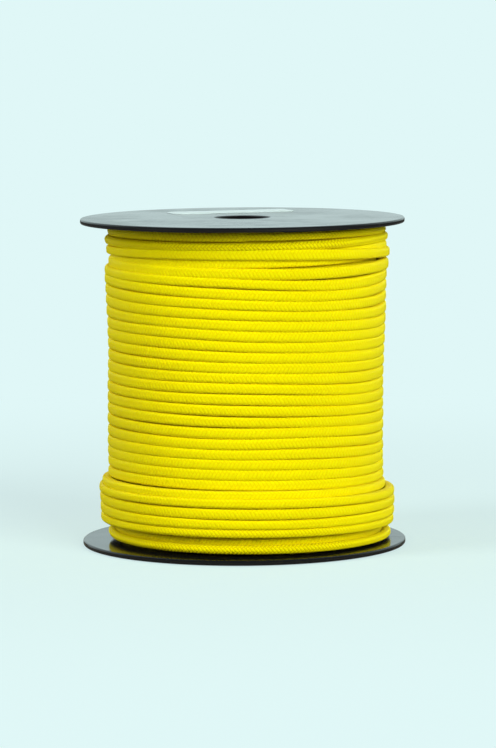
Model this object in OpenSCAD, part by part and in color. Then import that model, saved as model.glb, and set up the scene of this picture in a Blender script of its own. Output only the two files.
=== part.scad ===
// A spool of braided cord: two moulded flanges pushed into a barrel tube, which is wound full of cord.
// Millimetres, +Z up. The origin is on the spindle axis, in the plane that the lower flange stands on.

/* [Spool] */
// Overall height, from the outer face of one flange to that of the other
spool_h = 96; // [70:0.5:120]
// Diameter of both flanges
flange_d = 95; // [93:0.5:140]
// Thickness of a flange's disc
flange_t = 1.5; // [1:0.1:4]
// Radius of the rounding along a flange's rim
rim_round = 0.45; // [0.1:0.05:0.45]

/* [Hub] */
// Diameter of the bore for the spindle
bore_d = 16; // [8:0.5:20]
// Wall of the hub sleeve round the bore
hub_wall = 2; // [1.2:0.1:2.5]
// Height of a hub sleeve above its disc
hub_h = 14; // [5:0.5:30]
// Chamfer at the mouth of the bore
bore_chamfer = 0.4; // [0.1:0.1:0.8]

/* [Barrel] */
// Outer diameter of the barrel tube
barrel_d = 40; // [36:0.5:50]
// Wall of the barrel tube
barrel_wall = 2; // [1:0.1:2.5]
// Height of the spigot ring that plugs the barrel
spigot_h = 10; // [4:0.5:30]
// Wall of the spigot ring
spigot_wall = 2; // [1.2:0.1:2.5]
// Radial clearance between spigot and barrel
spigot_clear = 0.1; // [0.05:0.05:0.3]
// Lead-in chamfer of the spigot
spigot_chamfer = 0.6; // [0.2:0.1:1]
// Number of ribs between hub and spigot
rib_count = 6; // [3:1:8]
// Thickness of a rib
rib_t = 1.5; // [1:0.1:2.5]
// Height of the ribs above the disc
rib_h = 8; // [3:0.5:30]

/* [Cord] */
// Diameter of the cord
cord_d = 3; // [2.5:0.1:4]
// Height along the barrel that a turn takes beyond the cord's diameter
turn_slack = 0; // [0:0.05:0.5]
// Clear height left between neighbouring turns
turn_gap = 0.6; // [0.45:0.05:0.9]
// Diameter over the last full layer
winding_d = 81; // [70:0.5:84]
// Height of the raised band above that layer, near the lower flange
band_rise = 2.7; // [1:0.1:3]
// Turns from the start of the raised band to the lower flange
band_turns = 6; // [4:1:9]
// Clearance between the turns and the layers under them
seat_clear = 0.3; // [0.1:0.05:0.6]
// Clearance between the wound cord and the barrel
wind_clear = 0.1; // [0.05:0.05:0.4]

/* [Label] */
// Length of the blank label
label_w = 37.5; // [15:0.5:40]
// Width of the label
label_h = 11; // [8:0.5:18]
// Thickness of the label
label_t = 0.15; // [0.1:0.05:0.4]
// Radius of the label's corners
label_round = 2.5; // [0.5:0.5:3.5]
// Distance from the flange's rim to the label's middle
label_inset = 22; // [18:0.5:26]
// Bearing of the label's middle, in degrees from +X
label_bearing = 98; // [80:1:110]
// Turn of the label on its flange, in degrees
label_turn = 18; // [0:1:20]

/* [Hidden] */
$fn = 128;
eps = 0.01;
arc_steps = 3;

// Flanges, hub and barrel
rim_r = flange_d / 2;
bore_r = bore_d / 2;
hub_r = bore_r + hub_wall;
barrel_r = barrel_d / 2;
spigot_r = barrel_r - barrel_wall - spigot_clear;
spigot_in_r = spigot_r - spigot_wall;
inner_bottom = flange_t;
inner_top = spool_h - flange_t;
rib_top = min(rib_h, hub_h, spigot_h);

// The visible turns run down from the upper flange, one turn per full circle. They start and end at the
// back, and so does each change from one layer to the next.
back = 90;
first_z = inner_top - cord_d / 2;
last_z = inner_bottom + cord_d / 2;
turns = max(band_turns + 2, floor((first_z - last_z) / (cord_d + turn_slack)));
pitch = (first_z - last_z) / turns;
turn_half_h = (pitch - turn_gap) / 2;
layer_r = winding_d / 2 - cord_d / 2;
band_start = turns - band_turns;
// Half of the stretch, in turns, over which the cord moves to another layer
shift = 0.15;
climb = [band_start + 1 - shift, band_start + 1 + shift];
drop = [turns - 1 - shift, turns - 1 + shift];
// The last half turn rises again, by this share of the band
end_rise = 0.7 * band_rise;

// Rings in a turn, sides of a ring, and the length of a run's straight end, in turns
rings = 24;
sides = 6;
straight = cord_d / (2 * PI * layer_r);

function ease(u) = let (c = min(1, max(0, u))) c * c * (3 - 2 * c);
function lift(t) = band_rise * ease((t - climb[0]) / (climb[1] - climb[0]))
    * (1 - ease((t - drop[0]) / (drop[1] - drop[0])))
    + end_rise * ease(2 * (t - turns) + 1.5);
function turn_angle(t) = back + 360 * t;
function turn_z(t) = first_z - pitch * t;

// A station is a place along the run and the pull towards the axis that keeps the run's end straight.
function stations(t0, t1) = let (n = round((t1 - t0) * rings)) concat(
    [[t0, cos(360 * straight)], [t0 + straight, 1]],
    [for (i = [1:n - 1]) [t0 + i / rings, 1]],
    [[t1 - straight, 1], [t1, cos(360 * straight)]]);
function ring_at(s) = let (a = turn_angle(s[0]), r = (layer_r + lift(s[0])) * s[1]) [
    for (k = [0:sides - 1]) let (
        out = cord_d / 2 * cos(360 / sides * k),
        up = turn_half_h * sin(360 / sides * k) / sin(60))
    [(r + out) * cos(a), (r + out) * sin(a), turn_z(s[0]) + up]];
upper_rings = [for (s = stations(0, band_start)) ring_at(s)];
lower_rings = [for (s = stations(band_start, turns)) ring_at(s)];

// The inner layers stop short of the turns, whose straight facets dip between two rings.
facet_dip = cos(180 / rings);
core_r = layer_r * facet_dip - cord_d / 2 - seat_clear;
band_core_r = (layer_r + band_rise) * facet_dip - cord_d / 2 - seat_clear;
band_top_z = turn_z(climb[1]) - turn_half_h - seat_clear;
band_bottom_z = turn_z(drop[0]) + turn_half_h + seat_clear;

// The least gap between neighbouring turns, measured on the points of the rings near a turn apart
all_rings = concat(upper_rings, lower_rings);
near = 4;
least_gap = min([for (i = [0:len(all_rings) - 1])
    for (j = [i + rings - near:min(i + rings + near, len(all_rings) - 1)])
    for (p = all_rings[i]) for (q = all_rings[j]) norm(p - q)]);
echo(turns = turns, pitch = pitch, least_gap = least_gap);

function arc(cx, cy, r, from) = [for (i = [0:arc_steps]) let (a = from + 90 * i / arc_steps)
    [cx + r * cos(a), cy + r * sin(a)]];

// A disc with a rounded rim, standing on z = 0
module disc() {
    rotate_extrude() polygon(concat(
        [[0, 0]],
        arc(rim_r - rim_round, rim_round, rim_round, 270),
        arc(rim_r - rim_round, flange_t - rim_round, rim_round, 0),
        [[0, flange_t]]));
}

module spigot() {
    top = flange_t + spigot_h;
    rotate_extrude() polygon([
        [spigot_in_r, flange_t - eps], [spigot_r, flange_t - eps], [spigot_r, top - spigot_chamfer],
        [spigot_r - spigot_chamfer, top], [spigot_in_r, top]]);
}

module ribs() {
    for (i = [0:rib_count - 1]) rotate(360 / rib_count * i)
        translate([hub_r - hub_wall / 2, -rib_t / 2, flange_t - eps])
        cube([spigot_in_r - hub_r + hub_wall / 2 + spigot_wall / 2, rib_t, rib_top + eps]);
}

module flange() {
    difference() {
        union() {
            disc();
            cylinder(r = hub_r, h = flange_t + hub_h);
            spigot();
            ribs();
        }
        translate([0, 0, -1]) cylinder(r = bore_r, h = flange_t + hub_h + 2);
        translate([0, 0, -eps])
            cylinder(r1 = bore_r + bore_chamfer + eps, r2 = bore_r, h = bore_chamfer + eps);
    }
}

module flange_bottom() {
    color([0.09, 0.09, 0.1]) flange();
}

module flange_top() {
    color([0.09, 0.09, 0.1]) translate([0, 0, spool_h]) mirror([0, 0, 1]) flange();
}

module barrel_tube() {
    color([0.16, 0.16, 0.17]) translate([0, 0, inner_bottom]) difference() {
        cylinder(r = barrel_r, h = inner_top - inner_bottom);
        translate([0, 0, -1]) cylinder(r = barrel_r - barrel_wall, h = inner_top - inner_bottom + 2);
    }
}

// The inner layers of the cord, with the raised band near the lower flange
module cord_inner_layers() {
    bore = barrel_r + wind_clear;
    color([0.86, 0.74, 0.05]) rotate_extrude() polygon([
        [bore, inner_bottom], [core_r, inner_bottom],
        [core_r, band_bottom_z], [band_core_r, band_bottom_z],
        [band_core_r, band_top_z], [core_r, band_top_z],
        [core_r, inner_top], [bore, inner_top]]);
}

// One unbroken tube through the rings, with flat ends
module cord_run(rows) {
    last = len(rows) - 1;
    at = function (i, k) i * sides + k % sides;
    polyhedron(
        points = [for (row = rows) for (p = row) p],
        faces = concat(
            [for (i = [0:last - 1]) for (k = [0:sides - 1]) [at(i, k), at(i + 1, k), at(i + 1, k + 1)]],
            [for (i = [0:last - 1]) for (k = [0:sides - 1]) [at(i, k), at(i + 1, k + 1), at(i, k + 1)]],
            [for (k = [1:sides - 2]) [at(0, 0), at(0, k), at(0, k + 1)]],
            [for (k = [1:sides - 2]) [at(last, 0), at(last, k + 1), at(last, k)]]));
}

module cord_upper_turns() {
    color([0.96, 0.9, 0.02]) cord_run(upper_rings);
}

module cord_lower_turns() {
    color([0.96, 0.9, 0.02]) cord_run(lower_rings);
}

module label() {
    color([0.94, 0.95, 0.94]) translate([0, 0, spool_h]) rotate(label_bearing)
        translate([rim_r - label_inset, 0, 0]) rotate(label_turn - label_bearing)
        linear_extrude(label_t) {
            square([label_w - 2 * label_round, label_h], center = true);
            square([label_w, label_h - 2 * label_round], center = true);
            for (x = [-1, 1]) for (y = [-1, 1])
                translate([x * (label_w / 2 - label_round), y * (label_h / 2 - label_round)])
                circle(r = label_round);
        }
}

flange_bottom();
flange_top();
barrel_tube();
cord_inner_layers();
cord_upper_turns();
cord_lower_turns();
label();
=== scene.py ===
"""A spool of yellow braided cord: glossy black flanges, a wound diamond-braided cord and a blank label.

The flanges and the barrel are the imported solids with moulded-plastic materials. The cord is rebuilt as one
braided run, stitch by stitch, along a route that is settled by a few stations per turn. Lengths are in
millimetres until a mesh is made, and metres in Blender and in the materials.
"""
import math

import bpy
import numpy as np
from mathutils import Matrix, Vector

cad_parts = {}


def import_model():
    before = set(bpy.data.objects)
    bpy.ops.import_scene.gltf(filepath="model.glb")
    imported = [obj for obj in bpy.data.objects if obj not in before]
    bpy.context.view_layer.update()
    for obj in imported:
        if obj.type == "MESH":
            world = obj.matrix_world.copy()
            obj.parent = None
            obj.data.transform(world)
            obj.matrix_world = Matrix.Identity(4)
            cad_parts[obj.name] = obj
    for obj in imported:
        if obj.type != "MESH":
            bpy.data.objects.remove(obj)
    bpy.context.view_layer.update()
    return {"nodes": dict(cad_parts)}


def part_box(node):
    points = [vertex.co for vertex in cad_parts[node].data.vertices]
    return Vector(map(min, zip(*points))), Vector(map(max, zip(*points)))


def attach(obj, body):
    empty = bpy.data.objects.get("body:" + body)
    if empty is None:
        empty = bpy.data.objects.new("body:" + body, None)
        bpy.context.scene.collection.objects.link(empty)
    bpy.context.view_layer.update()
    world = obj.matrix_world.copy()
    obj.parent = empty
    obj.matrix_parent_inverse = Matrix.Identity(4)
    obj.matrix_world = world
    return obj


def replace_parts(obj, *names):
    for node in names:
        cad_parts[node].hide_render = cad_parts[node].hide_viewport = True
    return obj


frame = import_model()

MM = 0.001
BACK = math.radians(90)  # bearing of the spool's back, where the cord starts and ends
scene = bpy.context.scene


# ---------------------------------------------------------------- camera

SENSOR_HEIGHT, LENS = 36.0, 191.74                # millimetres
CAMERA_PLACE = (0.0, -1.1652, 0.1705)
YAW, LOOK_DOWN, ROLL = 0.00118, 0.1032, 0.0066    # radians


def make_camera():
    data = bpy.data.cameras.new("camera")
    data.sensor_fit = "VERTICAL"
    data.sensor_height = SENSOR_HEIGHT
    data.lens = LENS
    data.clip_end = 50.0
    cam = bpy.data.objects.new("camera", data)
    scene.collection.objects.link(cam)
    turn = (Matrix.Rotation(-YAW, 4, "Z") @ Matrix.Rotation(math.pi / 2 - LOOK_DOWN, 4, "X")
            @ Matrix.Rotation(-ROLL, 4, "Z"))
    cam.matrix_world = Matrix.Translation(CAMERA_PLACE) @ turn
    scene.camera = cam


make_camera()


# ---------------------------------------------------------------- node helpers

class Nodes:
    """A short way to write node trees: each call adds a node, links its inputs and returns an output."""

    def __init__(self, owner):
        owner.use_nodes = True
        self.tree = owner.node_tree
        self.tree.nodes.clear()

    def put(self, kind, **settings):
        node = self.tree.nodes.new(kind)
        for key, value in settings.items():
            setattr(node, key, value)
        return node

    def feed(self, socket, value):
        if isinstance(value, bpy.types.NodeSocket):
            self.tree.links.new(value, socket)
        elif value is not None:
            socket.default_value = value

    def coords(self, kind):
        return self.put("ShaderNodeTexCoord").outputs[kind]

    def split(self, vector):
        """The outputs x, y and z of a vector."""
        node = self.put("ShaderNodeSeparateXYZ")
        self.feed(node.inputs[0], vector)
        return node.outputs

    def stretched(self, vector, scale, turn=0.0):
        """A vector turned about Z and scaled."""
        node = self.put("ShaderNodeMapping")
        self.feed(node.inputs["Vector"], vector)
        node.inputs["Rotation"].default_value = (0.0, 0.0, turn)
        node.inputs["Scale"].default_value = scale
        return node.outputs[0]

    def math(self, op, a, b=None, c=None):
        node = self.put("ShaderNodeMath", operation=op)
        for socket, value in zip(node.inputs, (a, b, c)):
            self.feed(socket, value)
        return node.outputs[0]

    def ramp(self, value, low, high, out_low=0.0, out_high=1.0, smooth=True):
        node = self.put("ShaderNodeMapRange", interpolation_type="SMOOTHSTEP" if smooth else "LINEAR")
        inputs = {"Value": value, "From Min": low, "From Max": high, "To Min": out_low, "To Max": out_high}
        for name, setting in inputs.items():
            self.feed(node.inputs[name], setting)
        return node.outputs["Result"]

    def mix(self, factor, a, b):
        node = self.put("ShaderNodeMix", data_type="RGBA")
        self.feed(node.inputs[0], factor)
        self.feed(node.inputs[6], a)
        self.feed(node.inputs[7], b)
        return node.outputs[2]

    def mix_shader(self, factor, a, b):
        node = self.put("ShaderNodeMixShader")
        for socket, value in zip(node.inputs, (factor, a, b)):
            self.feed(socket, value)
        return node.outputs[0]

    def noise(self, vector, scale, detail, rough):
        node = self.put("ShaderNodeTexNoise")
        self.feed(node.inputs["Vector"], vector)
        set_inputs(node, {"Scale": scale, "Detail": detail, "Roughness": rough})
        return node.outputs["Fac"]

    def bump(self, height, distance, strength, normal=None):
        node = self.put("ShaderNodeBump")
        set_inputs(node, {"Strength": strength, "Distance": distance})
        self.feed(node.inputs["Height"], height)
        self.feed(node.inputs["Normal"], normal)
        return node.outputs["Normal"]


def set_inputs(node, values):
    for name, value in values.items():
        node.inputs[name].default_value = value


def rgb(r, g, b):
    """An sRGB colour of 0 to 255 as the linear colour that a socket takes."""
    def linear(c):
        c /= 255.0
        return c / 12.92 if c <= 0.04045 else ((c + 0.055) / 1.055) ** 2.4
    return (linear(r), linear(g), linear(b), 1.0)


def material(name):
    """A new material with one Principled shader: the material, its node writer and the shader."""
    mat = bpy.data.materials.new(name)
    n = Nodes(mat)
    shader = n.put("ShaderNodeBsdfPrincipled")
    n.feed(n.put("ShaderNodeOutputMaterial").inputs["Surface"], shader.outputs[0])
    return mat, n, shader


# ---------------------------------------------------------------- materials

YARN, YARN_PALE = rgb(248, 235, 0), rgb(251, 240, 2)
YARN_AMBER, YARN_DULL = rgb(244, 222, 0), rgb(236, 210, 0)
# Painted shade: a warm brown for the gaps between the yarns and for the grooves between turns
YARN_SHADE_WARM = rgb(218, 156, 0)      # between the yarns, and where turns press on each other
# Painted shade: a deep brown for the gaps between the yarns where the cord is slack
YARN_SHADE_DEEP = rgb(142, 104, 6)      # between the yarns where the cord is slack
# How far each of these shifts the yarn's colour
BY_YARN, BY_STRETCH, BY_FILAMENT, BY_GAP_SHADE, BY_SLACK_GAP_SHADE, BY_SIDE_SHADE = 0.45, 0.2, 0.05, 0.22, 0.3, 0.18
FILAMENTS = 8.0                   # ridges across a yarn
FILAMENT_TWIST = 0.9              # ridges that a filament moves across per stitch
FILAMENT_WAVER = 1.6

BLACK, DUST, SCRATCH = rgb(17, 17, 20), rgb(92, 90, 88), rgb(80, 80, 84)
DUST_FROM, DUST_FULL = 0.66, 0.8  # noise at which dust begins and is full
MOULD_RING = 0.0011               # distance between mould rings, in metres


def cord_material():
    """Multifilament yarn in a two-over-two diamond braid. The map BraidRun gives the place along and round
    the cord, in stitches, and from it come the yarn that lies on top, the place across and along its float,
    its filaments and the shade between the yarns."""
    mat, n, shader = material("braided_yarn")
    along, round_, _ = n.split(n.put("ShaderNodeUVMap", uv_map="BraidRun").outputs[0])
    u = n.math("ADD", along, round_)
    v = n.math("SUBTRACT", along, round_)
    i, j = n.math("FLOOR", u), n.math("FLOOR", v)
    fu, fv = n.math("FRACT", u), n.math("FRACT", v)
    cell = n.math("FLOORED_MODULO", n.math("ADD", n.math("SUBTRACT", i, j), 0.5), 4.0)
    first = n.math("LESS_THAN", cell, 2.0)
    second = n.math("SUBTRACT", 1.0, first)

    def pick(a, b):
        return n.math("ADD", n.math("MULTIPLY", first, a), n.math("MULTIPLY", second, b))

    across = n.math("SUBTRACT", pick(fu, fv), 0.5)
    run_a = n.math("FLOORED_MODULO", n.math("ADD", n.math("SUBTRACT", v, i), 1.0), 4.0)
    run_b = n.math("FLOORED_MODULO", n.math("SUBTRACT", n.math("SUBTRACT", u, j), 2.0), 4.0)
    run = pick(run_a, run_b)
    yarn = pick(i, n.math("ADD", j, 50.0))
    # The shade in the gaps: towards a float's long edges and towards its ends
    edge = n.math("ABSOLUTE", n.math("MULTIPLY", across, 2.0))
    end = n.math("ABSOLUTE", n.math("SUBTRACT", run, 1.0))
    gap = n.math("MAXIMUM", n.ramp(edge, 0.55, 1.0), n.ramp(end, 0.68, 1.0, 0.0, 0.85))
    # Filaments, a little twisted within the yarn and slightly uneven
    at = n.coords("Object")
    strands = n.math("ADD", n.math("MULTIPLY", across, FILAMENTS), n.math("MULTIPLY", run, FILAMENT_TWIST))
    waver = n.noise(at, scale=900.0, detail=2.0, rough=0.6)
    strands = n.math("ADD", strands, n.math("MULTIPLY", waver, FILAMENT_WAVER))
    filament = n.math("MULTIPLY_ADD", n.math("SINE", n.math("MULTIPLY", strands, 2 * math.pi)), 0.5, 0.5)
    # Each yarn and each stretch of cord is a little lighter or darker than the next
    hashed = n.put("ShaderNodeTexWhiteNoise", noise_dimensions="1D")
    n.feed(hashed.inputs["W"], yarn)
    stretch = n.noise(at, scale=55.0, detail=3.0, rough=0.6)
    base = n.mix(n.math("MULTIPLY", hashed.outputs["Value"], BY_YARN), YARN, YARN_PALE)
    base = n.mix(n.ramp(stretch, 0.45, 0.75, 0.0, BY_STRETCH), base, YARN_AMBER)
    base = n.mix(n.math("MULTIPLY", filament, BY_FILAMENT), base, YARN_DULL)
    # Painted shade in the gaps between the yarns
    base = n.mix(n.math("MULTIPLY", gap, BY_GAP_SHADE), base, YARN_SHADE_WARM)
    # Painted shade, deeper, in the gaps between the yarns where the cord is slack
    slack = n.put("ShaderNodeAttribute", attribute_name="slack").outputs["Fac"]
    base = n.mix(n.math("MULTIPLY", n.math("MULTIPLY", gap, slack), BY_SLACK_GAP_SHADE), base, YARN_SHADE_DEEP)
    # Painted shade in the grooves between turns: the sides that press on the next turn are shifted towards the
    # warm brown
    side = n.math("ABSOLUTE", n.split(n.coords("Normal"))[2])
    base = n.mix(n.ramp(side, 0.75, 1.0, 0.0, BY_SIDE_SHADE), base, YARN_SHADE_WARM)
    n.feed(shader.inputs["Base Color"], base)
    n.feed(shader.inputs["Roughness"], n.ramp(gap, 0.0, 1.0, 0.5, 0.75, smooth=False))
    set_inputs(shader, {
        "IOR": 1.46, "Specular IOR Level": 0.15, "Subsurface Weight": 0.3, "Subsurface Radius": (1.0, 0.9, 0.1),
        "Subsurface Scale": 0.0008, "Sheen Weight": 0.05, "Sheen Tint": (0.8, 1.0, 0.3, 1.0),
        "Sheen Roughness": 0.4})
    height = n.math("SUBTRACT", n.math("MULTIPLY", filament, 0.35), gap)
    n.feed(shader.inputs["Normal"], n.bump(height, 0.00006, 0.7))
    return mat


def flange_material():
    """Injection-moulded glossy black plastic: slightly wavy, with mould rings, fine scratches and dust."""
    mat, n, shader = material("gloss_black_plastic")
    at = n.coords("Object")
    x, y, _ = n.split(at)
    radius = n.math("SQRT", n.math("ADD", n.math("MULTIPLY", x, x), n.math("MULTIPLY", y, y)))
    rings = n.math("SINE", n.math("MULTIPLY", radius, 2 * math.pi / MOULD_RING))
    waves = n.noise(at, scale=60.0, detail=1.0, rough=0.4)
    grain = n.noise(at, scale=1500.0, detail=2.0, rough=0.6)
    smear = n.noise(at, scale=38.0, detail=4.0, rough=0.65)
    dust = n.noise(at, scale=700.0, detail=3.0, rough=0.75)
    # Scratches all run one way, and only on the flat faces
    streaks = n.noise(n.stretched(at, (26.0, 620.0, 40.0), 0.5), scale=1.0, detail=2.0, rough=0.5)
    flat = n.ramp(n.math("ABSOLUTE", n.split(n.coords("Normal"))[2]), 0.9, 0.99)
    scratch = n.math("MULTIPLY", n.ramp(streaks, 0.68, 0.74), flat)
    base = n.mix(n.ramp(dust, DUST_FROM, DUST_FULL, 0.0, 0.35), BLACK, DUST)
    base = n.mix(n.math("MULTIPLY", scratch, 0.15), base, SCRATCH)
    n.feed(shader.inputs["Base Color"], base)
    rough = n.ramp(smear, 0.35, 0.75, 0.1, 0.2)
    rough = n.math("ADD", rough, n.math("MULTIPLY", scratch, 0.18))
    rough = n.math("ADD", rough, n.ramp(dust, DUST_FROM, DUST_FULL, 0.0, 0.25))
    n.feed(shader.inputs["Roughness"], rough)
    set_inputs(shader, {"IOR": 1.5})
    wavy = n.bump(waves, 0.0004, 0.35)
    ringed = n.bump(rings, 0.000004, 0.6, wavy)
    n.feed(shader.inputs["Normal"], n.bump(n.math("SUBTRACT", grain, scratch), 0.000006, 0.5, ringed))
    return mat


def barrel_material():
    """Plain extruded tube: faint lines along its axis and a fine matt grain."""
    mat, n, shader = material("extruded_tube")
    at = n.coords("Object")
    lines = n.noise(n.stretched(at, (900.0, 900.0, 12.0)), scale=1.0, detail=3.0, rough=0.6)
    grain = n.noise(at, scale=2200.0, detail=2.0, rough=0.5)
    n.feed(shader.inputs["Base Color"], n.mix(lines, rgb(58, 58, 62), rgb(44, 44, 47)))
    n.feed(shader.inputs["Roughness"], n.ramp(lines, 0.3, 0.7, 0.42, 0.58))
    height = n.math("ADD", lines, n.math("MULTIPLY", grain, 0.4))
    n.feed(shader.inputs["Normal"], n.bump(height, 0.00004, 0.5))
    return mat


def label_material():
    """Blank white film: satin, slightly clouded, with a faint orange-peel."""
    mat, n, shader = material("blank_white_film")
    at = n.coords("Object")
    peel = n.noise(at, scale=1400.0, detail=2.0, rough=0.5)
    cloud = n.noise(at, scale=120.0, detail=3.0, rough=0.6)
    base = n.mix(n.ramp(cloud, 0.4, 0.75, 0.0, 0.5), rgb(230, 250, 251), rgb(216, 238, 241))
    n.feed(shader.inputs["Base Color"], base)
    n.feed(shader.inputs["Roughness"], n.ramp(cloud, 0.3, 0.7, 0.16, 0.26))
    set_inputs(shader, {"IOR": 1.46})
    n.feed(shader.inputs["Normal"], n.bump(peel, 0.00002, 0.35))
    return mat


def seal_material():
    """Melted and set yarn: darker, amber and glassy."""
    mat, n, shader = material("melted_yarn")
    blob = n.noise(n.coords("Object"), scale=1500.0, detail=3.0, rough=0.6)
    n.feed(shader.inputs["Base Color"], n.mix(blob, rgb(206, 150, 10), rgb(120, 74, 8)))
    n.feed(shader.inputs["Roughness"], n.ramp(blob, 0.3, 0.7, 0.18, 0.4))
    n.feed(shader.inputs["Normal"], n.bump(blob, 0.0001, 0.5))
    return mat


def dress(mat, *nodes):
    for node in nodes:
        slots = frame["nodes"][node].data.materials
        slots.clear()
        slots.append(mat)


CORD = cord_material()
dress(flange_material(), "flange_bottom", "flange_top")
dress(barrel_material(), "barrel_tube")


# ---------------------------------------------------------------- meshes and pieces

def simple_mesh(name, verts, faces, smooth=None):
    """A mesh from lists, with all its faces smooth unless smooth says which."""
    mesh = bpy.data.meshes.new(name)
    mesh.from_pydata(verts, [], faces)
    mesh.update()
    mesh.polygons.foreach_set("use_smooth", [True] * len(faces) if smooth is None else smooth)
    return mesh


def add_piece(mesh, mat):
    mesh.materials.append(mat)
    obj = bpy.data.objects.new(mesh.name, mesh)
    scene.collection.objects.link(obj)
    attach(obj, "root")
    return obj


# ---------------------------------------------------------------- the cord's route

# t counts the turns of the last layer from the upper flange down. A turn starts at the back, and passes the
# left, the front and the right: its angle is 90 + 360 t degrees. Turn number n is from t = n - 1 to t = n.
# Before t = 0 the cord is in the layer beneath, which climbs to the upper flange.
TURNS = 31
T_START, T_END = -4.3, float(TURNS)
CORD_R = 1.5
PITCH = 3.028                      # height that a turn of the last layer takes
AXIS_X = 0.95                      # the winding has built up a little off the spindle's axis

# The layer beneath: its height at t = 0 and its radius. It comes up between turns 4 and 5, where it shows
# at the front: by how much, at which t, and over how many turns.
UNDER_Z, UNDER_R = 92.9, 36.7
UNDER_RISE, UNDER_SHOWN, UNDER_SPREAD = 2.1, -2.52, 0.38

# Height and radius where the last layer starts, at t = 0, and beyond the cord's end
START = (92.6, 38.6)
BEYOND = ((3.6, 41.6), (3.8, 41.6))

# Height and radius at the left, front, right and back of each turn that lies unevenly
UNEVEN = {
    # Slack and crossed under the upper flange
    1: ((92.8, 39.0), (93.0, 39.5), (92.6, 39.6), (91.5, 40.2)),
    2: ((89.95, 39.9), (90.0, 40.2), (90.5, 40.2), (89.1, 39.4)),
    3: ((88.3, 37.3), (88.9, 37.4), (87.9, 39.8), (87.3, 37.7)),
    4: ((87.1, 39.4), (87.9, 40.0), (85.9, 40.7), (84.8, 40.0)),
    5: ((83.6, 38.8), (82.45, 39.8), (82.5, 40.4), (81.6, 39.7)),
    # The raised band
    26: ((19.0, 41.0), (19.15, 40.8), (17.8, 39.1), (17.4, 40.6)),
    27: ((17.1, 42.1), (17.0, 41.9), (15.5, 41.8), (15.0, 41.9)),
    28: ((14.35, 41.9), (13.95, 41.8), (12.85, 41.9), (12.2, 41.8)),
    29: ((11.4, 41.8), (10.95, 41.8), (9.9, 41.8), (9.3, 41.8)),
    30: ((8.5, 41.7), (8.4, 41.7), (7.3, 41.6), (6.3, 41.4)),
    # The lowest turn, on the lower flange
    31: ((3.95, 39.5), (3.5, 40.2), (3.15, 40.8), (3.2, 41.4)),
}

# The evenly laid turns
EVEN_T, EVEN_Z = 5.5, 79.8         # their height at one t
EVEN_LEAN = 1.75                   # how much lower they lie at the sides than at the front, low down
BACK_SHARE = 1.333                 # how much lower they lie at the back than at the front, in such leans
EVEN_TILT = 0.5                    # how much higher they lie at the left and lower at the right, but low down
EVEN_R, EVEN_R_MORE = 39.05, 1.0   # their radius low down, and what it gains on the way up
# Each sets in at a height, and over how much more height
LEAN_BELOW, TILT_ABOVE, WIDER_ABOVE = (78, 40), (20, 10), (50, 40)

# What the route adds to them: a rise at the right towards the back, with more high up, a rise of those of
# the middle at the left, and a shift to the left low down
RIGHT_RISE, RIGHT_MORE, MORE_ABOVE = 1.1, 0.5, (60, 10)
LEFT_RISE, LEFT_HEIGHTS = 0.5, (50, 8, 84, 6)
LOW_SHIFT, SHIFT_BELOW = 0.4, (58, 15)
RIPPLE_RISE = 0.12

# Places where the evenly laid turns have sagged or been pushed up: bearing in degrees and height of the
# middle, spread in degrees and in height, and rise
DRIFTS = (
    (190, 48, 30, 4.5, 0.95),
    (190, 39.5, 30, 3, 0.45),
    (190, 23, 30, 3, 0.6),
    (260, 32, 25, 8, -0.7),
    (299, 77, 20, 6, -0.7),
    (345, 66, 15, 7, -0.8),
    (345, 33, 15, 8, -0.45),
)

# Stretches of t: where each starts, over how much it rises, where it ends and over how much it falls. The
# heights above are written in the same way.
WAVERS = (5, 1.5, 25.5, 1.5)
IS_EVEN = (5.2, 0.45, 25.5, 0.5)
DRIFTED = (4.3, 0.4, 25.6, 0.5)
FIRST_TURNS = (0, 1, 2.6, 1)
BAND_FOOT = (28.6, 0.4, 30.1, 0.4)
LAST_TURN = (29.9, 0.3, T_END, 0.15)
SLACKER_FROM = ((28.8, 0.4), (29.6, 0.6))   # towards its end the cord gets slack, by half at each of these

# Half the cord's height: the least and the most, how much less it may be at the band's foot and in the last
# turn, and how far it presses into its neighbours
HALF_LEAST, HALF_MOST = 1.25, 1.58
FOOT_FLATTER, LAST_FLATTER = 0.32, 0.28
PRESS = 0.07

# The turn of the main layer under the band: radius and height, and how both change from side to side
SUNKEN_R, SUNKEN_OFF = 38.0, 0.2
SUNKEN_Z, SUNKEN_TILT = 5.35, 0.35
SUNKEN_RELIEF, SUNKEN_SLACK = 0.9, 0.15

# Slow unevenness along the cord: seed, size, and the waves per turn that it is made of
SWAYS = {
    "height": (3, 0.16, (1.31, 2.17, 3.73)),
    "radius": (5, 0.18, (0.87, 2.39, 4.1)),
    "press": (12, 0.13, (0.9, 2.3, 3.7)),
    "twist": (9, 0.12, (0.23, 0.61, 1.37)),
    "relief": (15, 0.3, (1.9, 4.3, 9.7)),
}


def smooth01(x):
    x = np.clip(x, 0.0, 1.0)
    return x * x * (3 - 2 * x)


def above(x, start, over):
    """0 up to start, and from there eased to 1."""
    return smooth01((x - start) / over)


def below(x, start, over):
    """0 from start on, and from there down eased to 1."""
    return smooth01((start - x) / over)


def window(x, start, rise, end, fall):
    """0 up to start and from end on, and 1 between, eased over rise and fall."""
    return above(x, start, rise) * below(x, end, fall)


def bearing_at(t):
    return BACK + 2 * math.pi * t


def even_turn(t):
    """Height and radius of the evenly laid turns."""
    a = bearing_at(t)
    z = EVEN_Z - PITCH * (t - EVEN_T)
    front = (1 - math.sin(a)) / 2
    lean = EVEN_LEAN * float(below(z, *LEAN_BELOW))
    tilt = EVEN_TILT * float(above(z, *TILT_ABOVE))
    z += -tilt * math.cos(a) + BACK_SHARE * lean * (front ** 2 - 1)
    return z, EVEN_R + EVEN_R_MORE * float(above(z, *WIDER_ABOVE))


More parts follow.
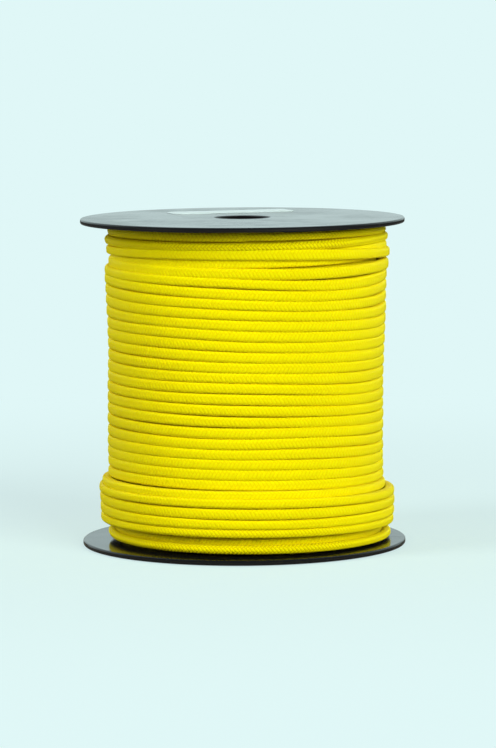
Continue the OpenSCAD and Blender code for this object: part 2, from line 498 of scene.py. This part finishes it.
def route_stations():
    """The stations' t, heights and radii, four to a turn."""
    stations = []
    t = math.floor(T_START * 4) / 4 - 0.25
    while t < -0.1:
        shown = math.exp(-((t - UNDER_SHOWN) / UNDER_SPREAD) ** 2)
        stations.append((t, UNDER_Z + PITCH * t, UNDER_R + UNDER_RISE * shown))
        t += 0.25
    stations.append((0.0, *START))
    for turn in range(1, TURNS + 1):
        for k in range(4):
            t = turn - 1 + 0.25 * (k + 1)
            stations.append((t, *(UNEVEN[turn][k] if turn in UNEVEN else even_turn(t))))
    for k, place in enumerate(BEYOND):
        stations.append((TURNS + 0.25 * (k + 1), *place))
    return np.array(stations).T


STATION_T, STATION_Z, STATION_R = route_stations()


def catmull(ts, values, t):
    """Smooth curve through evenly spaced stations."""
    t = np.asarray(t, float)
    step = ts[1] - ts[0]
    x = (t - ts[0]) / step
    i = np.clip(np.floor(x).astype(int), 1, len(ts) - 3)
    f = x - i
    p0, p1, p2, p3 = (values[i + k] for k in (-1, 0, 1, 2))
    return 0.5 * (2 * p1 + (p2 - p0) * f + (2 * p0 - 5 * p1 + 4 * p2 - p3) * f * f
                  + (3 * p1 - p0 - 3 * p2 + p3) * f ** 3)


def route_z(t):
    return catmull(STATION_T, STATION_Z, t)


def sway(t, what):
    seed, size, waves = SWAYS[what]
    own = np.random.default_rng(seed)
    total = np.zeros_like(t)
    for rate in waves:
        total += own.uniform(0.5, 1.0) * np.sin(2 * math.pi * (rate * t + own.uniform()))
    return size * total / len(waves)


def drift(bearing, z):
    total = 0 * z
    for middle, height, wide, tall, rise in DRIFTS:
        off = np.mod(bearing - middle + 180, 360) - 180
        total = total + rise * np.exp(-0.5 * ((off / wide) ** 2 + ((z - height) / tall) ** 2))
    return total


def route(t):
    """Centre of the cord at t, and half its height, in millimetres."""
    t = np.asarray(t, float)
    a = bearing_at(t)
    z = route_z(t)
    r = catmull(STATION_T, STATION_R, t)
    wavers, even = window(t, *WAVERS), window(t, *IS_EVEN)
    right, left = np.maximum(0, np.cos(a)), np.maximum(0, -np.cos(a))
    more = RIGHT_MORE * above(z, *MORE_ABOVE)
    z = z + even * ((RIGHT_RISE + more) * right ** 8 - more * right ** 2)
    z = z + even * LEFT_RISE * window(z, *LEFT_HEIGHTS) * left
    r = r - even * LOW_SHIFT * below(z, *SHIFT_BELOW) * np.cos(a)
    z = z + window(t, *DRIFTED) * drift(np.degrees(a), z)
    # No turn is laid quite evenly
    z = z + wavers * sway(t, "height")
    z = z + wavers * RIPPLE_RISE * np.sin(3 * a + 0.2 * t) * np.sin(0.7 * t)
    r = r + (0.3 + 0.7 * wavers) * sway(t, "radius")
    # The cord fills the room between its neighbours, pressed into them a little. At the band's foot and in
    # the last turn, but for its end, it is flatter.
    room = (route_z(np.clip(t - 1, STATION_T[1], None)) - route_z(np.clip(t + 1, None, STATION_T[-2]))) / 4
    press = PRESS + sway(t, "press")
    most = HALF_MOST - FOOT_FLATTER * window(t, *BAND_FOOT) - LAST_FLATTER * window(t, *LAST_TURN)
    half = np.where(t > 0.5, np.clip(room, HALF_LEAST, most), CORD_R) + press
    return np.stack([AXIS_X + r * np.cos(a), r * np.sin(a), z], -1), half


# ---------------------------------------------------------------- braiding

STITCH = 1.15             # length of a stitch along the cord
FINE = 4                  # mesh steps per stitch, along and round
STEP = STITCH / FINE      # distance between the mesh's rings
CARRIERS = 6              # yarns in each direction
PACKED, SLACK = 3.4, 2.1  # how square the cord's section is, pressed between turns and free; 2 is round
YARN_RISE = 0.13          # how far a yarn rises over and dips under the others
YARN_ROUND = 0.17         # roundness of a yarn across its width
YARN_REACH = 0.96         # how far its section goes round a circle; 1 would make its edges upright
TURNS_PER_PIECE = 4
SAMPLES = 720             # per turn, to measure the route's length
TWIST = 0.31              # the cord's own twist per turn
RELIEF, SLACK_RELIEF = 0.65, 0.85   # how much of its depth the braid shows, and how much more where slack

# Places round the cord, in stitches' widths; the first and last meet on its inner side
SIDES = CARRIERS * FINE
ROUND = np.arange(SIDES) / FINE


def section_table(square):
    """Points and outward directions of the cord's section, evenly spaced round it."""
    phi = np.linspace(0, 2 * math.pi, 4001)
    c, s = np.cos(phi), np.sin(phi)
    x = np.sign(c) * np.abs(c) ** (2 / square)
    z = np.sign(s) * np.abs(s) ** (2 / square)
    run = np.concatenate([[0], np.cumsum(np.hypot(np.diff(x), np.diff(z)))])
    share = run / run[-1]
    nx = np.sign(x) * np.abs(x) ** (square - 1)
    nz = np.sign(z) * np.abs(z) ** (square - 1)
    length = np.hypot(nx, nz)
    return share, x, z, nx / length, nz / length


SECTIONS = section_table(PACKED), section_table(SLACK)


def braid_height(u, v):
    """Height of the braid's surface below its crowns. Yarn i of the one hand runs along v, yarn j of the
    other along u, and each passes over two and under two."""
    def body(f):
        return YARN_ROUND * (np.sqrt(1 - (YARN_REACH * (2 * f - 1)) ** 2) - 1)

    def one(u, v):
        i, j = np.floor(u), np.floor(v)
        rise_a = np.sin(np.pi / 2 * np.mod(v - i + 1, 4))
        rise_b = np.sin(np.pi / 2 * np.mod(u - j - 2, 4))
        top = np.maximum(YARN_RISE / 2 * rise_a + body(u - i), YARN_RISE / 2 * rise_b + body(v - j))
        return top - YARN_RISE / 2
    # The mean of the four sides of a yarn's edge, where the surface jumps
    e = 1e-3
    return (one(u + e, v + e) + one(u - e, v + e) + one(u + e, v - e) + one(u - e, v - e)) / 4


def tube_points(run):
    """The surface's points, ring by ring."""
    stitch_at, slack = run["stitch"][:, None], run["slack"][:, None]
    q = np.mod(ROUND / CARRIERS - 0.5 + run["twist"][:, None], 1.0)
    packed, free = ([np.interp(q, table[0], k) for k in table[1:]] for table in SECTIONS)
    x, z, nx, nz = (a + slack * (b - a) for a, b in zip(packed, free))
    h = run["relief"][:, None] * braid_height(stitch_at + ROUND, stitch_at - ROUND)
    out = CORD_R * x + h * nx
    up = run["half"][:, None] * z + h * nz
    return (run["centre"][:, None, :] + out[..., None] * run["out"][:, None, :]
            + up[..., None] * run["up"][:, None, :])


def tube_faces(stitch_at):
    """The triangles between the rings, and their corners on the maps BraidRun and OFBake. Each quad's
    diagonal lies along the yarn that is on top there."""
    rings = len(stitch_at)
    k, l = np.meshgrid(np.arange(rings - 1), np.arange(SIDES), indexing="ij")
    wide = np.append(ROUND, CARRIERS)
    mid_s, mid_c = (stitch_at[k] + stitch_at[k + 1]) / 2, (wide[l] + wide[l + 1]) / 2
    first = np.mod(np.floor(mid_s + mid_c) - np.floor(mid_s - mid_c), 4) < 1.5

    def halves(corner):
        """Both triangles of each quad, where corner(dk, dl) gives a corner's value."""
        p00, p10, p11, p01 = corner(0, 0), corner(1, 0), corner(1, 1), corner(0, 1)
        choice = first if p00.ndim == 2 else first[..., None]
        return np.where(choice[:, :, None], np.stack([p00, p10, p01, p10, p11, p01], 2),
                        np.stack([p00, p10, p11, p00, p11, p01], 2))

    # The map for baking: the run cut into rows that fill a square
    length, around = (rings - 1) * STEP, 2 * math.pi * CORD_R
    rows = max(1, int(round(math.sqrt(length / around))))
    per_row = math.ceil((rings - 1) / rows)
    row = k // per_row
    side_margin, margin = 0.004, 0.06

    def bake(dk, dl):
        x = ((k - row * per_row) + dk) / per_row
        y = (row + margin + (1 - 2 * margin) * (l + dl) / SIDES) / rows
        return np.stack([side_margin + (1 - 2 * side_margin) * x, y], -1)

    return (halves(lambda dk, dl: (k + dk) * SIDES + (l + dl) % SIDES).reshape(-1, 3),
            halves(lambda dk, dl: np.stack([stitch_at[k + dk], wide[l + dl]], -1)).reshape(-1, 2),
            halves(bake).reshape(-1, 2))


def braid_mesh(name, run):
    """One braided tube with closed ends. For each ring, run gives its centre, the directions out and up,
    half its height, its place along the cord in stitches, its twist about its own axis, the depth of the
    braid and how slack the cord is."""
    stitch_at, slack, ends = run["stitch"], run["slack"], [0, -1]
    verts = tube_points(run).reshape(-1, 3)
    tris, run_uv, bake_uv = tube_faces(stitch_at)
    # A fan of triangles closes each end
    last = len(verts) - SIDES
    hub = len(verts)
    here = np.arange(SIDES)
    after = (here + 1) % SIDES
    fans = [np.stack([np.full(SIDES, hub), after, here], -1),
            np.stack([np.full(SIDES, hub + 1), last + here, last + after], -1)]
    verts = np.concatenate([verts, run["centre"][ends]])
    tris = np.concatenate([tris, *fans])
    fan_uv = np.stack([np.repeat(stitch_at[ends], 3 * SIDES), np.zeros(6 * SIDES)], -1)
    run_uv = np.concatenate([run_uv, fan_uv])
    bake_uv = np.concatenate([bake_uv, np.full((6 * SIDES, 2), 0.001)])

    mesh = bpy.data.meshes.new(name)
    mesh.vertices.add(len(verts))
    mesh.vertices.foreach_set("co", (verts * MM).astype(np.float32).ravel())
    mesh.loops.add(len(tris) * 3)
    mesh.loops.foreach_set("vertex_index", tris.astype(np.int32).ravel())
    mesh.polygons.add(len(tris))
    mesh.polygons.foreach_set("loop_start", np.arange(0, len(tris) * 3, 3, dtype=np.int32))
    mesh.polygons.foreach_set("use_smooth", np.ones(len(tris), bool))
    mesh.update(calc_edges=True)
    slack_at = np.concatenate([np.repeat(slack, SIDES), slack[ends]]).astype(np.float32)
    mesh.attributes.new("slack", "FLOAT", "POINT").data.foreach_set("value", slack_at)
    # The rims of the ends are sharp
    on_rim = np.zeros(len(verts), bool)
    on_rim[:SIDES] = True
    on_rim[last:hub] = True
    pairs = np.zeros(len(mesh.edges) * 2, np.int32)
    mesh.edges.foreach_get("vertices", pairs)
    mesh.edges.foreach_set("use_edge_sharp", on_rim[pairs[::2]] & on_rim[pairs[1::2]])
    for map_name, uv in (("BraidRun", run_uv - [math.floor(stitch_at[0]), 0]), ("OFBake", bake_uv)):
        mesh.uv_layers.new(name=map_name).data.foreach_set("uv", uv.astype(np.float32).ravel())
    return add_piece(mesh, CORD)


def frames(points):
    """Directions out from the axis and up, square to the run."""
    ahead = np.gradient(points, axis=0)
    ahead /= np.linalg.norm(ahead, axis=1, keepdims=True)
    out = points - [AXIS_X, 0, 0]
    out[:, 2] = 0
    out -= ahead * np.sum(out * ahead, axis=1, keepdims=True)
    out /= np.linalg.norm(out, axis=1, keepdims=True)
    return out, np.cross(out, ahead)


def lay_cord():
    """The whole run, ring by ring, cut at the back into pieces of up to four turns. Gives the pieces, and
    the centre and the directions out and up at the cord's end."""
    dense = np.linspace(T_START, T_END, int((T_END - T_START) * SAMPLES))
    points, _ = route(dense)
    length = np.concatenate([[0], np.cumsum(np.linalg.norm(np.diff(points, axis=0), axis=1))])
    count = int(length[-1] / STEP)
    t = np.interp(np.arange(count + 1) * STEP, length, dense)
    centre, half = route(t)
    out, up = frames(centre)
    # Where the cord is slack, its braid stands out more
    slack = window(t, *FIRST_TURNS) + 0.5 * sum(above(t, *place) for place in SLACKER_FROM)
    run = {"centre": centre, "out": out, "up": up, "half": half, "stitch": np.arange(count + 1) / FINE,
           "twist": TWIST * t + sway(t, "twist"),
           "relief": RELIEF + SLACK_RELIEF * slack + sway(t, "relief"), "slack": slack}
    turn_cuts = [*range(0, TURNS, TURNS_PER_PIECE), TURNS]
    names = ["cord_layer_beneath",
             *("cord_turns_%02d_%02d" % (a + 1, b) for a, b in zip(turn_cuts, turn_cuts[1:]))]
    cuts = [0, *(int(np.searchsorted(t, c)) for c in turn_cuts[:-1]), count]
    made = [braid_mesh(name, {key: values[a:b + 1] for key, values in run.items()})
            for name, a, b in zip(names, cuts, cuts[1:])]
    return made, centre[-1], out[-1], up[-1]


pieces, end_at, end_out, end_up = lay_cord()
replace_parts(pieces[1], "cord_upper_turns")
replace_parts(pieces[-1], "cord_lower_turns")


def sunken_turn():
    """The turn of the main layer that shows between the raised band and the lowest turn."""
    count = int(2 * math.pi * (SUNKEN_R + SUNKEN_OFF) / STEP)
    a = BACK + np.linspace(0, 2 * math.pi, count + 1)
    radius = SUNKEN_R + SUNKEN_OFF * np.cos(a)
    z = SUNKEN_Z - SUNKEN_TILT * np.cos(a)
    centre = np.stack([AXIS_X + radius * np.cos(a), radius * np.sin(a), z], -1)
    out, up = frames(centre)
    even = np.ones(count + 1)
    return braid_mesh("cord_turn_under_band", {
        "centre": centre, "out": out, "up": up, "half": CORD_R * even, "stitch": np.arange(count + 1) / FINE,
        "twist": 0 * even, "relief": SUNKEN_RELIEF * even, "slack": SUNKEN_SLACK * even})


sunken_turn()


# ---------------------------------------------------------------- the layers further in

CORE_BORE, CORE_BOTTOM, CORE_TOP = 20.2, 1.55, 94.45
CORE_EDGE = 0.05                      # least distance of a ridge's corner from the top
CORE_SEGMENTS = 160
CORE_R, CORE_BAND_R = 35.4, 37.0      # over the ridges, and the same under the raised band
CORE_TOP_R = 34.8
CORE_BAND_TOP = 17.5
CORE_OFF = 0.6                        # how far the ridges lie off the spindle's axis
RIDGE = 3.0                           # height of a ridge, which is one turn
RIDGE_SHAPE = ((0.0, 0.9), (0.2, 0.3), (0.5, 0.0), (0.8, 0.3))    # share of its height, and depth
CORE_MAP_R, STITCH_WIDE = 36, 1.57    # for the map: radius, and width of a stitch round the cord


def core_profile():
    """Radius and height of the section's corners, from the bottom of the bore round to its top."""
    profile = [(CORE_BORE, CORE_BOTTOM)]
    z, last = CORE_BOTTOM, CORE_TOP - CORE_EDGE
    while z < last:
        over = CORE_BAND_R if z < CORE_BAND_TOP else CORE_R
        profile += [(over - dip, z + share * RIDGE) for share, dip in RIDGE_SHAPE if z + share * RIDGE < last]
        z += RIDGE
    return profile + [(CORE_TOP_R, CORE_TOP), (CORE_BORE, CORE_TOP)]


def core():
    """The layers further in, as one ridged body: a ridge for each turn."""
    profile = core_profile()
    size = len(profile)
    verts, faces = [], []
    for m in range(CORE_SEGMENTS):
        a = 2 * math.pi * m / CORE_SEGMENTS
        verts += [(((CORE_OFF if r > CORE_BORE else 0) + r * math.cos(a)) * MM, r * math.sin(a) * MM, z * MM)
                  for r, z in profile]
        at, after = m * size, (m + 1) % CORE_SEGMENTS * size
        faces += [(at + q, after + q, after + (q + 1) % size, at + (q + 1) % size) for q in range(size)]
    mesh = simple_mesh("cord_inner_body", verts, faces)
    uv = []
    for loop in mesh.loops:
        co = mesh.vertices[loop.vertex_index].co
        uv += [math.atan2(co.y, co.x) * CORE_MAP_R / STITCH, co.z / MM / STITCH_WIDE]
    mesh.uv_layers.new(name="BraidRun").data.foreach_set("uv", uv)
    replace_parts(add_piece(mesh, CORD), "cord_inner_layers")


core()


# ---------------------------------------------------------------- the cord's end

SEAL_AROUND, SEAL_RINGS = 24, 7
SEAL_R, SEAL_RISE, SEAL_TIP = 1.42, 0.9, 0.92     # radius, and heights of the dome's side and of its tip
SEAL_SUNK = 0.02                                  # how deep in the cord it starts
SEAL_BLUNT, SEAL_ROUGH, SEAL_SEED = 2.4, 0.03, 7


def sealed_end():
    """The cord's cut end, melted to a blunt dome so that it can't fray."""
    verts, faces = [], []
    ahead = np.cross(end_up, end_out)
    noise = np.random.default_rng(SEAL_SEED)
    for m in range(SEAL_RINGS):
        f = m / SEAL_RINGS
        size = SEAL_R * math.sqrt(1 - f ** SEAL_BLUNT)
        for q in range(SEAL_AROUND):
            a = 2 * math.pi * q / SEAL_AROUND
            r = size * (1 + SEAL_ROUGH * noise.uniform(-1, 1))
            p = (end_at + end_out * (r * math.cos(a)) + end_up * (r * math.sin(a))
                 + ahead * (SEAL_RISE * f - SEAL_SUNK))
            verts.append(tuple(p * MM))
    verts += [tuple((end_at + ahead * reach) * MM) for reach in (SEAL_TIP, -SEAL_SUNK)]
    tip, back = len(verts) - 2, len(verts) - 1
    top = (SEAL_RINGS - 1) * SEAL_AROUND
    pairs = [(q, (q + 1) % SEAL_AROUND) for q in range(SEAL_AROUND)]
    for low in range(0, top, SEAL_AROUND):
        high = low + SEAL_AROUND
        faces += [(low + q, low + q2, high + q2, high + q) for q, q2 in pairs]
    for q, q2 in pairs:
        faces += [(top + q, top + q2, tip), (q2, q, back)]
    add_piece(simple_mesh("cord_sealed_end", verts, faces), seal_material())


sealed_end()


# ---------------------------------------------------------------- the label

LABEL_W, LABEL_H, LABEL_CORNER, LABEL_THICK = 37.5, 11.0, 2.5, 0.14
LABEL_OUT, LABEL_BEARING, LABEL_TURN = 25.5, math.radians(98), math.radians(18)
LABEL_GRID = (72, 34)
LABEL_OFF = 0.01                      # clearance over the flange
LIFT, LIFT_FROM = 0.4, 0.62           # of the corner that has come up
RIPPLE = 0.008                        # height of the film's waves


def label():
    """A blank film label with round corners that lies on the upper flange. One corner has lifted a little."""
    z0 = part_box("label")[0].z / MM
    middle = LABEL_OUT * math.cos(LABEL_BEARING), LABEL_OUT * math.sin(LABEL_BEARING)
    nu, nv = LABEL_GRID
    flat_x, flat_y = LABEL_W / 2 - LABEL_CORNER, LABEL_H / 2 - LABEL_CORNER

    def place(i, j, top):
        x, y = (i / nu - 0.5) * LABEL_W, (j / nv - 0.5) * LABEL_H
        # Near a corner the grid is pulled in to the round
        ex, ey = abs(x) - flat_x, abs(y) - flat_y
        if ex > 0 and ey > 0:
            pull = max(ex, ey) / math.hypot(ex, ey)
            x, y = math.copysign(flat_x + ex * pull, x), math.copysign(flat_y + ey * pull, y)
        lift = LABEL_OFF + LIFT * max(0.0, x / LABEL_W + y / LABEL_H - LIFT_FROM) ** 2
        lift += RIPPLE * (1 + math.sin(x * 0.9 + 1) * math.sin(y * 0.7))
        px = middle[0] + x * math.cos(LABEL_TURN) - y * math.sin(LABEL_TURN)
        py = middle[1] + x * math.sin(LABEL_TURN) + y * math.cos(LABEL_TURN)
        return px * MM, py * MM, (z0 + lift + (LABEL_THICK if top else 0.0)) * MM

    verts = [place(i, j, top) for top in (False, True) for i in range(nu + 1) for j in range(nv + 1)]
    sheet = (nu + 1) * (nv + 1)

    def at(i, j, top):
        return (sheet if top else 0) + i * (nv + 1) + j

    faces = []
    for i in range(nu):
        for j in range(nv):
            faces.append((at(i, j, True), at(i + 1, j, True), at(i + 1, j + 1, True), at(i, j + 1, True)))
            faces.append((at(i, j, False), at(i, j + 1, False), at(i + 1, j + 1, False), at(i + 1, j, False)))
    flat_faces = len(faces)
    rim = ([(i, 0) for i in range(nu)] + [(nu, j) for j in range(nv)]
           + [(i, nv) for i in range(nu, 0, -1)] + [(0, j) for j in range(nv, 0, -1)])
    for (a, b), (c, d) in zip(rim, rim[1:] + rim[:1]):
        faces.append((at(a, b, False), at(c, d, False), at(c, d, True), at(a, b, True)))
    mesh = simple_mesh("blank_label", verts, faces, [k < flat_faces for k in range(len(faces))])
    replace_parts(add_piece(mesh, label_material()), "label")


label()


# ---------------------------------------------------------------- stage and light

PALE = rgb(224, 247, 247)
BOUNCE = rgb(130, 130, 126)           # the floor as the object sees it
FLOOR_R, FLOOR_DROP = 8.0, 0.0002     # metres
AIM = (0, 0, 0.05)


def stage():
    """A pale floor. What the camera sees of it is mostly its own colour, with a light trace of the shadow;
    the light that it throws back on the object is weaker."""
    mat = bpy.data.materials.new("stage_floor")
    n = Nodes(mat)
    bounce = n.put("ShaderNodeBsdfDiffuse")
    set_inputs(bounce, {"Color": BOUNCE})
    pale = n.put("ShaderNodeBsdfDiffuse")
    set_inputs(pale, {"Color": PALE})
    glow = n.put("ShaderNodeEmission")
    set_inputs(glow, {"Color": PALE})
    # Further from the object the floor glows more, up to its plain colour
    reach = n.put("ShaderNodeVectorMath", operation="LENGTH")
    n.feed(reach.inputs[0], n.coords("Object"))
    far = n.ramp(reach.outputs["Value"], 0.05, 0.4, 0.7, 1.0)
    seen = n.mix_shader(far, pale.outputs[0], glow.outputs[0])
    is_camera = n.put("ShaderNodeLightPath").outputs["Is Camera Ray"]
    surface = n.mix_shader(is_camera, bounce.outputs[0], seen)
    n.feed(n.put("ShaderNodeOutputMaterial").inputs["Surface"], surface)
    bpy.ops.mesh.primitive_circle_add(vertices=96, radius=FLOOR_R, fill_type="NGON",
                                      location=(0, 0, -FLOOR_DROP))
    floor = bpy.context.object
    floor.name = "stage_floor"
    floor.data.materials.append(mat)


stage()


def world():
    """A soft room: light comes mostly from behind and low, and gloss shows a pale backdrop behind and a darker
    room before.
    """
    scene.world = bpy.data.worlds.new("soft_room")
    n = Nodes(scene.world)
    path = n.put("ShaderNodeLightPath").outputs
    _, y, z = n.split(n.coords("Generated"))

    def background(colour, strength):
        node = n.put("ShaderNodeBackground")
        set_inputs(node, {"Color": colour})
        n.feed(node.inputs["Strength"], strength)
        return node.outputs[0]

    # The room is bright behind the object and dim before it and overhead
    behind = n.ramp(y, -0.2, 0.6, 0.03, 1.0)
    overhead = n.ramp(z, 0.3, 0.9, 1.0, 0.15)
    light = background(rgb(232, 234, 228), n.math("MULTIPLY", behind, overhead))
    gloss = background(PALE, n.ramp(y, -0.25, 0.35, 0.08, 0.92))
    mirrored = n.math("MAXIMUM", path["Is Glossy Ray"], path["Is Transmission Ray"])
    unseen = n.mix_shader(mirrored, light, gloss)
    surface = n.mix_shader(path["Is Camera Ray"], unseen, background(PALE, 1.0))
    n.feed(n.put("ShaderNodeOutputWorld").inputs[0], surface)


world()


def lamp(name, place, size, power, colour):
    data = bpy.data.lights.new(name, "AREA")
    data.shape = "RECTANGLE"
    data.size, data.size_y = size
    data.energy = power
    data.color = colour
    obj = bpy.data.objects.new(name, data)
    scene.collection.objects.link(obj)
    obj.location = place
    obj.rotation_euler = (Vector(AIM) - Vector(place)).to_track_quat("-Z", "Y").to_euler()
    obj.visible_glossy = False


lamp("key", place=(0.89, -1.29, 0.76), size=(1.1, 1.0), power=32.2, colour=(0.965, 1.0, 0.92))
lamp("fill", place=(-1.38, -0.62, 0.95), size=(0.6, 1.5), power=19.2, colour=(1.0, 1.0, 1.0))

scene.view_settings.view_transform = "Standard"
